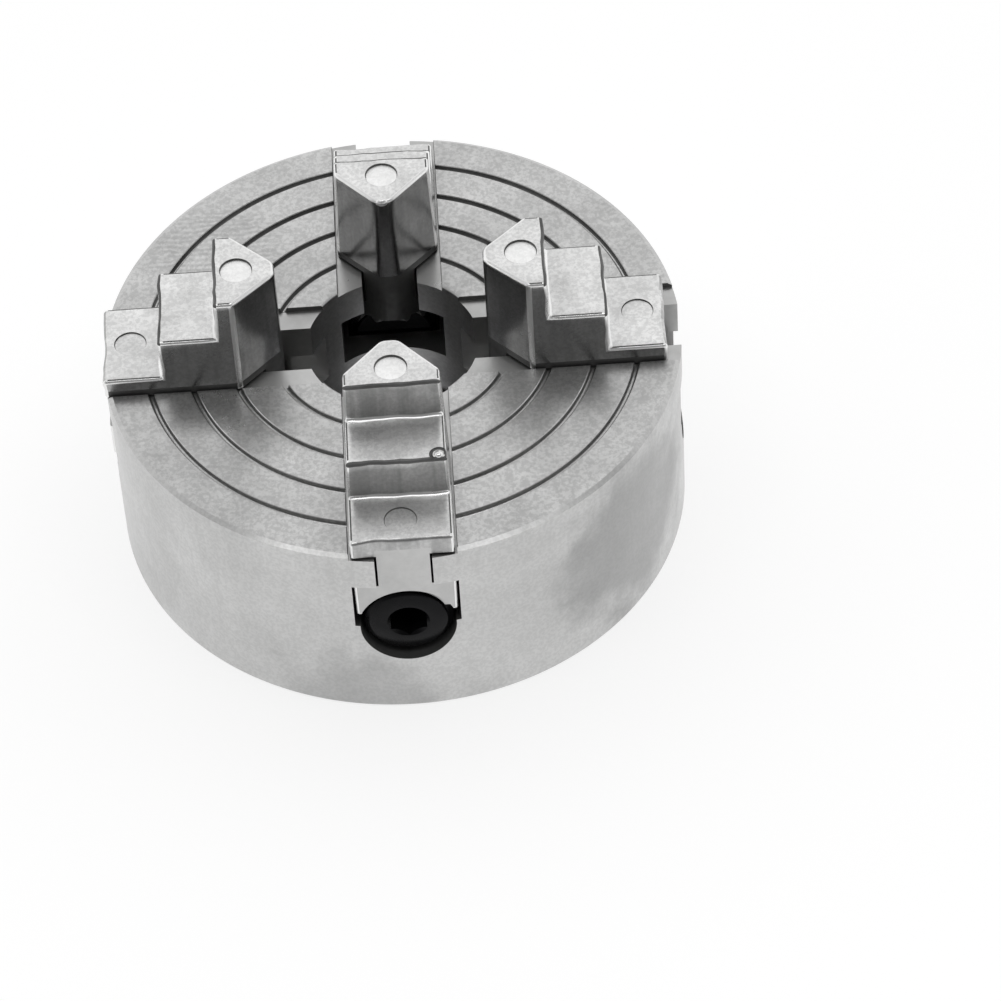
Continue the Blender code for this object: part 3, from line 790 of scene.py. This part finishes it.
def jaw_blank(name, tip):
    """The jaw's block, stepped up by extruding, with its nose cut to 45 degrees and a fine grid."""
    lowest = JAW_STEPS[-1][1]
    piece = block(name, (tip, -JAW_HALF_WIDTH, FACE + JAW_FOOT),
                  (tip + JAW_LENGTH, JAW_HALF_WIDTH, FACE + lowest))
    piece.data.materials.append(LIT_CAST_ZINC)
    piece.data.materials.append(WORN_ZINC_AND_HIGHLIGHT)
    open_mesh(piece)
    for length, _ in JAW_STEPS[:2]:
        pick_all()
        bpy.ops.mesh.bisect(plane_co=(tip + length, 0, 0), plane_no=(1, 0, 0), threshold=WELD)
    below = lowest
    for length, height in reversed(JAW_STEPS[:2]):
        pick_faces(lambda middle, normal: normal.z > 0.9 and middle.x < tip + length
                   and middle.z > FACE + below - WELD)
        bpy.ops.mesh.extrude_region_move(TRANSFORM_OT_translate={"value": (0, 0, height - below)})
        below = height
    for side in (-1, 1):
        pick_all()
        bpy.ops.mesh.bisect(plane_co=(tip, side * JAW_TIP_HALF_WIDTH, 0), plane_no=(-1, side, 0),
                            clear_outer=True, use_fill=True, threshold=WELD)
    pick_all()
    weld()
    pick_edges(lambda a, b: abs(a.x - tip) < WELD and abs(b.x - tip) < WELD and abs(a.z - b.z) > WELD)
    bpy.ops.mesh.bevel(offset=0.55 * MM, segments=4, affect="EDGES")
    end = tip + JAW_LENGTH
    pick_edges(lambda a, b: min(a.x, b.x) > end - WELD and min(a.z, b.z) > FACE + lowest - WELD)
    bpy.ops.mesh.bevel(offset=JAW_END_ROUNDING, segments=4, affect="EDGES")
    pick_none()
    bpy.ops.mesh.edges_select_sharp(sharpness=math.radians(30))
    # Every sharp edge is rounded with the light edge finish: worn metal and painted highlight.
    bpy.ops.mesh.bevel(offset=EDGE_WIDTH, segments=3, affect="EDGES", clamp_overlap=False,
                       material=piece.data.materials.find(WORN_ZINC_AND_HIGHLIGHT.name))
    top = FACE + JAW_STEPS[0][1]
    ends = [tip + length for length, _ in JAW_STEPS]
    levels = [FACE + height for _, height in JAW_STEPS]
    cuts = [((0, y, 0), (0, 1, 0)) for y in spaced(-JAW_HALF_WIDTH, JAW_HALF_WIDTH)]
    cuts += [((x, 0, 0), (1, 0, 0)) for x in spaced(tip, tip + JAW_LENGTH, ends)]
    cuts += [((0, 0, z), (0, 0, 1)) for z in spaced(FACE + JAW_SEAT, top, levels)]
    for place, direction in cuts:
        pick_all()
        bpy.ops.mesh.bisect(plane_co=place, plane_no=direction, threshold=WELD)
    close_mesh()
    return piece


def spaced(low, high, edges=()):
    """Even places between two ends, about one grid width apart, but none right beside an edge."""
    count = round((high - low) / JAW_GRID)
    places = [low + (high - low) * i / count for i in range(1, count)]
    return [place for place in places if all(abs(place - edge) > 1.3 * EDGE_WIDTH for edge in edges)]


def taper(piece, tip):
    """Gives the head its draft, and loosens the corners near the steps' edges."""
    top = JAW_STEPS[0][1]
    loose = piece.vertex_groups.new(name="loose")
    for corner in piece.data.vertices:
        height = corner.co.z - FACE
        if height > JAW_SEAT:
            share = (height - JAW_SEAT) / (top - JAW_SEAT)
            corner.co.y *= 1 + (JAW_TOP_HALF_WIDTH / JAW_HALF_WIDTH - 1) * share
        else:
            corner.co.y *= JAW_FOOT_HALF_WIDTH / JAW_HALF_WIDTH if height < JAW_FLANGE else 1
        reach = min(abs(corner.co.x - tip - length) for length, _ in JAW_STEPS)
        near = min(max(1.3 - reach / RIPPLE_REACH, 0), 1)
        loose.add([corner.index], near * min(max((height - 0.3 * MM) / MM, 0), 1), "REPLACE")


def give_faces(piece, finish, test, over):
    """Gives another finish to the faces of one finish that pass the test."""
    materials = piece.data.materials
    if finish.name not in materials:
        materials.append(finish)
    old = materials.find(over.name)
    new = materials.find(finish.name)
    for face in piece.data.polygons:
        if face.material_index == old and test(face.center, face.normal):
            face.material_index = new


def mark(piece, x, z, depth, finish):
    """The round mark of an ejector pin: a shallow sunk disc, with shade painted on its rim."""
    inside = MARK_RADIUS - 0.12 * MM
    tool = lathe("ejector_mark", [
        (0, z - depth), (inside, z - depth), (MARK_RADIUS + 0.1 * MM, z + 0.3 * MM), (0, z + 0.3 * MM),
    ], 64)
    # The sunk wall is painted with shade.
    shape(piece, "DIFFERENCE", shift(tool, x=x), PAINTED_SHADE)
    give_faces(piece, finish, lambda middle, normal: normal.z > 0.9
               and abs(middle.z - z + depth) < WELD, PAINTED_SHADE)


def bead(piece, place, radius, scale):
    """A small lump of metal, left over from casting."""
    deselect()
    bpy.ops.mesh.primitive_uv_sphere_add(segments=24, ring_count=12, radius=radius, location=place,
                                         scale=scale)
    lump = bpy.context.object
    settle(lump)
    # The lump's faces take the light edge finish, partly a painted highlight.
    shape(piece, "UNION", lump, WORN_ZINC_AND_HIGHLIGHT)


def sprue_mark(piece, place):
    """A bead in a small ring, where the metal ran into the mould. The ring is painted with shade."""
    deselect()
    bpy.ops.mesh.primitive_torus_add(major_radius=0.85 * MM, minor_radius=0.2 * MM, major_segments=32,
                                     minor_segments=10, location=place)
    tool = bpy.context.object
    settle(tool)
    # The ring's cut faces are painted with shade.
    shape(piece, "DIFFERENCE", tool, PAINTED_SHADE)
    bead(piece, place, 0.5 * MM, (1, 1, 0.7))


def jaw(place, direction, tip):
    """The stepped jaw, with a neck and a wide foot whose underside is a half nut."""
    piece = jaw_blank(f"{place}_jaw", tip)
    taper(piece, tip)
    piece.rotation_euler.z = math.radians(direction)
    wave(piece, f"{place}_ripple", "X", 0.5 * MM, 2.6 * MM)
    wave(piece, f"{place}_sag", "Z", 0.14 * MM, 3.0 * MM)
    piece.rotation_euler.z = 0
    for side in (-1, 1):
        near = side * JAW_NECK_HALF_WIDTH
        low = (-FAR, min(near, side * FAR), FACE + JAW_FLANGE)
        high = (FAR, max(near, side * FAR), FACE + JAW_SEAT)
        shape(piece, "DIFFERENCE", block("groove", low, high), MILLED_ZINC)
    seat = FACE + JAW_SEAT
    # Painted shade along the jaw's foot, where it meets the chuck's face.
    give_faces(piece, PAINTED_SHADE, lambda middle, normal: abs(normal.z) < 0.5 and normal.x < 0.5
               and seat < middle.z < FACE + 0.3 * MM, LIT_CAST_ZINC)
    # The sides get the darker, painted-shade copy of the zinc.
    give_faces(piece, SHADED_SIDE_ZINC, lambda middle, normal: abs(normal.z) < 0.5 and normal.x < 0.5
               and middle.z > seat, LIT_CAST_ZINC)
    # The risers get the darker, painted-shade copy of the zinc.
    give_faces(piece, SHADED_RISER_ZINC, lambda middle, normal: normal.x > 0.5 and middle.z > seat, LIT_CAST_ZINC)
    give_faces(piece, MILLED_ZINC, lambda middle, normal: normal.x > 0.5, LIT_CAST_ZINC)
    # Painted shade on the inward faces under the seat.
    give_faces(piece, PAINTED_SHADE, lambda middle, normal: normal.x < -0.5 and middle.z < seat, LIT_CAST_ZINC)
    # Painted shade lines on the step edges and on top of the sides' roundings.
    give_faces(piece, PAINTED_SHADE, lambda middle, normal: on_dark_edge(middle, normal, tip), WORN_ZINC_AND_HIGHLIGHT)
    nut = threaded_rod("half_nut", tip, tip + JAW_LENGTH, tip + THREAD_LEAD, THREAD_PITCH,
                       THREAD_CREST + 2 * THREAD_SIDE_GAP, THREAD_BASE + 2 * THREAD_SIDE_GAP,
                       THREAD_ROOT + THREAD_GAP, THREAD_RADIUS + THREAD_GAP)
    # Painted shade in the half nut's thread.
    shape(piece, "DIFFERENCE", nut, PAINTED_SHADE)
    mouth = lay_outwards(rod("nut_mouth", NUT_MOUTH_RADIUS, tip + JAW_LENGTH - NUT_MOUTH_DEPTH, FAR))
    shape(piece, "DIFFERENCE", mouth, MILLED_ZINC)
    mark(piece, tip + TOP_MARK, FACE + JAW_STEPS[0][1], TOP_MARK_DEPTH, FROSTED_ZINC)
    mark(piece, tip + LOW_MARK, FACE + JAW_STEPS[2][1], LOW_MARK_DEPTH, LIT_CAST_ZINC)
    if place == "front":
        length, height = JAW_STEPS[1]
        sprue_mark(piece, (tip + length - 0.7 * MM, 4.6 * MM, FACE + height))
    if place == "back":
        burr = (tip + 0.15 * MM, 0.1 * MM, FACE + JAW_STEPS[0][1] - 0.35 * MM)
        bead(piece, burr, 0.7 * MM, (0.6, 1, 0.7))
    to_station(piece, direction)
    finished(piece, f"jaw_{place}", f"jaw_{place}")


def on_dark_edge(middle, normal, tip):
    """Whether a rounding's face gets painted shade: along the steps' outer edges, or on top of the
    sides'.
    """
    for length, height in JAW_STEPS[:2]:
        near = abs(middle.x - tip - length) < DARK_EDGE_REACH
        if near and middle.z > FACE + height - 0.4 * MM:
            return middle.z < FACE + height + 0.3 * MM and normal.x > 0.1
    return normal.z > 0.85 and abs(normal.x) < 0.1 and middle.z > FACE + MM


def jaw_screw(place, direction, tip):
    """The black left-hand screw, with its thrust neck and key socket."""
    piece = threaded_rod(f"{place}_jaw_screw", SCREW_START, SCREW_END, tip + THREAD_LEAD, THREAD_PITCH,
                         THREAD_CREST, THREAD_BASE, THREAD_ROOT, THREAD_RADIUS)
    piece.data.materials.append(BLACK_OXIDE)
    end = THREAD_RADIUS - SCREW_CHAMFER
    outside = THREAD_RADIUS + 0.1 * MM
    slope = outside - end
    neck_start = YOKE_DISTANCE - SCREW_NECK_WIDTH / 2
    neck_end = YOKE_DISTANCE + SCREW_NECK_WIDTH / 2
    soft = 0.15 * MM
    section = [
        (0, SCREW_START), (end, SCREW_START), (outside, SCREW_START + slope), (outside, neck_start),
        (SCREW_NECK_RADIUS, neck_start), (SCREW_NECK_RADIUS, neck_end), (outside, neck_end),
        (outside, SCREW_END - slope), (end + soft, SCREW_END - soft), (end - soft, SCREW_END),
        (0, SCREW_END),
    ]
    shape(piece, "INTERSECT", lay_outwards(lathe("envelope", section)))
    socket = key_socket("key", KEY_ACROSS_FLATS, SCREW_END - KEY_DEPTH, FAR)
    shape(piece, "DIFFERENCE", lay_outwards(socket))
    corner = KEY_ACROSS_FLATS / math.sqrt(3)
    dish = lathe("dish", [
        (0, SCREW_END - corner), (corner + FAR, SCREW_END + FAR), (0, SCREW_END + FAR),
    ], 64)
    shape(piece, "DIFFERENCE", shift(lay_outwards(dish), x=-0.05 * MM))
    tip_cone = lathe("drill_point", [
        (0, SCREW_END - KEY_DEPTH - 0.9 * MM), (1.7 * MM, SCREW_END - KEY_DEPTH + 0.05 * MM),
        (0, SCREW_END - KEY_DEPTH + 0.05 * MM),
    ], 48)
    shape(piece, "DIFFERENCE", lay_outwards(tip_cone))
    to_station(piece, direction)
    finished(piece, f"jaw_screw_{place}", f"screw_{place}")


def thrust_yoke(place, direction):
    """The round slug whose saddle holds the screw's neck."""
    bottom = YOKE_BOTTOM - SCREW_HEIGHT
    piece = rod(f"{place}_thrust_yoke", YOKE_RADIUS, bottom, 0, x=YOKE_DISTANCE)
    piece.data.materials.append(TURNED_STEEL)
    shoulder = -THREAD_RADIUS - 0.3 * MM
    inner = YOKE_DISTANCE - YOKE_TONGUE / 2
    outer = YOKE_DISTANCE + YOKE_TONGUE / 2
    shape(piece, "DIFFERENCE", block("inner_side", (0, -FAR, shoulder), (inner, FAR, FAR)))
    shape(piece, "DIFFERENCE", block("outer_side", (outer, -FAR, shoulder), (FAR, FAR, FAR)))
    saddle = lay_outwards(rod("saddle", SCREW_NECK_RADIUS + NECK_GAP, 0, FAR))
    shape(piece, "DIFFERENCE", saddle)
    round_edges(piece, 0.15 * MM)
    to_station(piece, direction)
    finished(piece, f"thrust_yoke_{place}", "chuck")


def yoke_plug(place, direction):
    """The plug behind the yoke, with a key socket in its back."""
    soft = 0.45 * MM
    end = YOKE_RADIUS - soft
    blunt = 0.12 * MM
    section = [
        (0, PLUG_BOTTOM), (end - blunt, PLUG_BOTTOM), (end + blunt, PLUG_BOTTOM + blunt),
        (YOKE_RADIUS, PLUG_BOTTOM + soft), (YOKE_RADIUS, PLUG_TOP - soft), (end, PLUG_TOP),
        (0, PLUG_TOP),
    ]
    piece = lathe(f"{place}_yoke_plug", section)
    piece.data.materials.append(BLACK_OXIDE)
    socket = key_socket("key", KEY_ACROSS_FLATS, -FAR, PLUG_BOTTOM + PLUG_SOCKET_DEPTH)
    shape(piece, "DIFFERENCE", socket)
    corner = KEY_ACROSS_FLATS / math.sqrt(3) + 0.05 * MM
    dish = lathe("dish", [(0, -MM), (corner + MM, -MM), (0, corner)], 64)
    shape(piece, "DIFFERENCE", shift(dish, z=PLUG_BOTTOM))
    shift(piece, x=YOKE_DISTANCE, z=-SCREW_HEIGHT)
    to_station(piece, direction)
    finished(piece, f"yoke_plug_{place}", "chuck")


# ---- camera, light and floor --------------------------------------------------------------------

CAMERA_AZIMUTH = -0.148            # degrees
CAMERA_ELEVATION = 48.325          # degrees
CAMERA_ROLL = math.radians(-3.668)
CAMERA_DISTANCE = 544.35 * MM
AIM_RIGHT = 12.18 * MM
AIM_UP = -18.09 * MM
CAMERA_LENS = 174.27
DARK_SIDE = (0, 48)                # azimuth and elevation of the studio's darkest part, in degrees
STUDIO_LEVELS = (1.05, 0.2)        # away from the dark side, and in it
FLOOR_SPREAD = 90                  # how many times wider than its opening the floor is


def towards(azimuth, elevation):
    """The direction to a place seen from the chuck. Azimuth 0 is the front, and 90 the right."""
    azimuth = math.radians(azimuth)
    elevation = math.radians(elevation)
    across = math.cos(elevation)
    return Vector((math.sin(azimuth) * across, -math.cos(azimuth) * across, math.sin(elevation)))


def add_camera():
    """Looks down at the chuck's face from the front jaw's side."""
    back = towards(CAMERA_AZIMUTH, CAMERA_ELEVATION)
    level = Vector((0, 0, 1)).cross(back).normalized()
    upright = back.cross(level)
    right = level * math.cos(CAMERA_ROLL) + upright * math.sin(CAMERA_ROLL)
    up = back.cross(right)
    aim = Vector((0, 0, FACE_HEIGHT)) + right * AIM_RIGHT + up * AIM_UP
    deselect()
    bpy.ops.object.camera_add()
    camera = bpy.context.object
    turn = Matrix((right, up, back)).transposed().to_4x4()
    camera.matrix_world = Matrix.Translation(aim + back * CAMERA_DISTANCE) @ turn
    camera.data.lens = CAMERA_LENS
    camera.data.clip_start = 0.01
    bpy.context.scene.camera = camera


def add_softbox(name, azimuth, elevation, distance, width, height, brightness):
    """A rectangular area light that faces the chuck."""
    direction = towards(azimuth, elevation)
    deselect()
    bpy.ops.object.light_add(type="AREA", location=direction * distance)
    light = bpy.context.object
    light.name = name
    light.rotation_euler = direction.to_track_quat("Z", "Y").to_euler()
    light.data.shape = "RECTANGLE"
    light.data.size = width
    light.data.size_y = height
    light.data.energy = brightness * math.pi * width * height


def add_surroundings():
    """A bright studio, darker behind the viewer and below the floor."""
    world = bpy.data.worlds.new("studio")
    world.use_nodes = True
    tree = world.node_tree
    direction = add(tree, "TexCoord").outputs["Generated"]
    near = add(tree, "VectorMath", {0: direction, 1: towards(*DARK_SIDE)}, operation="DOT_PRODUCT")
    level = add(tree, "MapRange", {"Value": near.outputs["Value"], "From Min": 0.2, "From Max": 0.85,
                                   "To Min": STUDIO_LEVELS[0], "To Max": STUDIO_LEVELS[1]},
                interpolation_type="SMOOTHSTEP")
    height = add(tree, "SeparateXYZ", {"Vector": direction}).outputs["Z"]
    above = add(tree, "MapRange", {"Value": height, "From Min": -0.1, "From Max": 0.0, "To Min": 0.6})
    both = add(tree, "Math", {0: level.outputs[0], 1: above.outputs[0]}, operation="MULTIPLY")
    tree.links.new(both.outputs[0], tree.nodes["Background"].inputs["Strength"])
    tree.nodes["Background"].inputs["Color"].default_value = (1, 1, 1, 1)
    bpy.context.scene.world = world


def add_floor():
    """A plain pale floor, open under the chuck, so that the chuck can be seen from below too."""
    deselect()
    bpy.ops.mesh.primitive_circle_add(vertices=192, radius=BODY_RADIUS - EDGE_RADIUS - 0.2 * MM)
    floor = bpy.context.object
    floor.name = "floor"
    open_mesh(floor)
    bpy.ops.mesh.extrude_region_move()
    bpy.ops.transform.resize(value=(FLOOR_SPREAD, FLOOR_SPREAD, 1))
    close_mesh()
    material = bpy.data.materials.new("pale_floor")
    material.use_nodes = True
    shader = material.node_tree.nodes["Principled BSDF"]
    shader.inputs["Base Color"].default_value = (0.35, 0.35, 0.35, 1)
    shader.inputs["Roughness"].default_value = 0.9
    shader.inputs["Specular IOR Level"].default_value = 0.1
    shader.inputs["Emission Color"].default_value = (1, 1, 1, 1)
    shader.inputs["Emission Strength"].default_value = 0.72
    floor.data.materials.append(material)


add_camera()
add_surroundings()
add_softbox("overhead", 0, 76, 0.7, 0.8, 0.25, 2.0)
add_floor()
bpy.context.scene.view_settings.view_transform = "Standard"

turned_body()
threaded_bush()
flange_screws()
for place, (direction, tip) in STATIONS.items():
    jaw(place, direction, tip)
    jaw_screw(place, direction, tip)
    thrust_yoke(place, direction)
    yoke_plug(place, direction)
